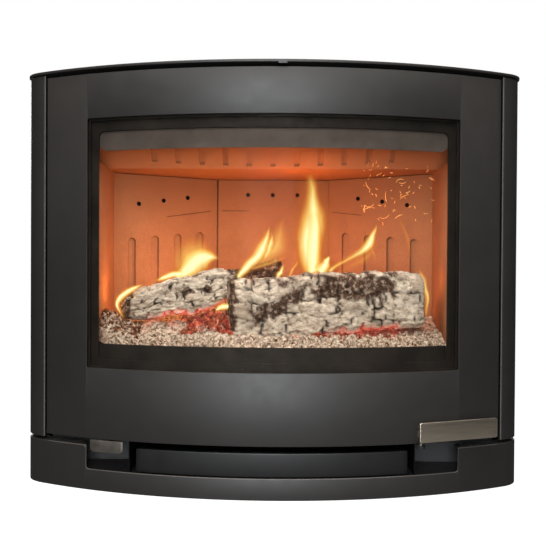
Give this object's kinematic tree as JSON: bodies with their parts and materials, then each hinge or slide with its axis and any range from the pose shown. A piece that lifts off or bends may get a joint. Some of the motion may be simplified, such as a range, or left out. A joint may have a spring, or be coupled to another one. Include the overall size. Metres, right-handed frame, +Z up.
{
  "type": "wall-mounted wood stove",
  "caption": "Wall-hung wood stove with a bowed front, a wide glazed steel door hinged on the left, a lined firebox, an air lever, an ash drawer and a top flue collar",
  "frame": {"origin": "Middle of the four wall-bolt holes, on the rear face of the wall bracket, which is the wall's plane", "axes": "+Z up, -Y out of the wall towards the room, +X to the right as seen from the room"},
  "size_m": [0.594, 0.3882, 0.522],
  "materials": {
    "casing_paint": "matt heat-resistant charcoal paint",
    "firebox_paint": "matt black stove paint",
    "zinc_sheet": "plain zinc-coated sheet",
    "plain_steel": "dull plain steel sheet",
    "fixings": "plain steel",
    "handle_steel": "brushed stainless steel",
    "lining_board": "warm buff lightweight firebrick board",
    "grate_iron": "raw cast iron",
    "window_glass": "clear heat-resistant glass",
    "rope": "braided glass-fibre rope"
  },
  "bodies": {
    "stove": {"wall_bracket": "zinc_sheet", "left_hanging_plate": "firebox_paint", "right_hanging_plate": "firebox_paint", "back_panel": "casing_paint", "casing_screws": "fixings", "right_side_panel": "casing_paint", "left_side_panel": "casing_paint", "top_plate": "casing_paint", "top_catch_tab": "casing_paint", "panel_spacers": "casing_paint", "base_skirt": "casing_paint", "base_plate": "firebox_paint", "right_recess_wall": "firebox_paint", "left_recess_wall": "firebox_paint", "drawer_housing": "firebox_paint", "drawer_runners": "firebox_paint", "right_support_leg": "firebox_paint", "left_support_leg": "firebox_paint", "air_riser": "zinc_sheet", "air_inlet_collar": "zinc_sheet", "air_box": "zinc_sheet", "ash_chute": "zinc_sheet", "damper_guides": "zinc_sheet", "firebox_shell": "firebox_paint", "firebox_front": "firebox_paint", "hinge_brackets": "firebox_paint", "hinge_pins": "fixings", "latch_keeper": "firebox_paint", "floor_lining": "lining_board", "right_side_lining": "lining_board", "left_side_lining": "lining_board", "right_angled_lining": "lining_board", "left_angled_lining": "lining_board", "back_lining": "lining_board", "baffle": "lining_board", "smoke_deflector": "firebox_paint", "air_wash_plate": "plain_steel", "log_retainer": "firebox_paint", "grate": "grate_iron", "flue_collar": "firebox_paint", "flue_flange": "firebox_paint", "flue_flange_screws": "fixings"},
    "door": {"door_plate": "casing_paint", "glass_gasket": "rope", "door_glass": "window_glass", "glass_frame": "firebox_paint", "glass_frame_screws": "fixings", "rope_channel": "firebox_paint", "door_rope": "rope", "door_lugs": "firebox_paint", "handle_bracket": "casing_paint"},
    "handle": {"door_handle": "handle_steel", "handle_pin": "fixings", "latch_tongue": "fixings"},
    "lever": {"air_lever": "casing_paint", "air_damper": "zinc_sheet"},
    "drawer": {"ash_drawer_front": "casing_paint", "ash_pan": "zinc_sheet"}
  },
  "joints": [
    {"name": "door_hinge", "type": "hinge", "parent": "stove", "child": "door", "pos_m": [-0.2565, -0.3024, -0.0305], "axis": [0, 0, -1], "range_deg": [0, 90]},
    {"name": "handle_pivot", "type": "hinge", "parent": "door", "child": "handle", "pos_m": [0.168, -0.36105, -0.228], "axis": [0, 0, -1], "range_deg": [0, 40]},
    {"name": "air_lever_slide", "type": "slide", "parent": "stove", "child": "lever", "axis": [0, -1, 0], "range_m": [0, 0.03]},
    {"name": "ash_drawer_slide", "type": "slide", "parent": "stove", "child": "drawer", "axis": [0, -1, 0], "range_m": [0, 0.16]}
  ]
}
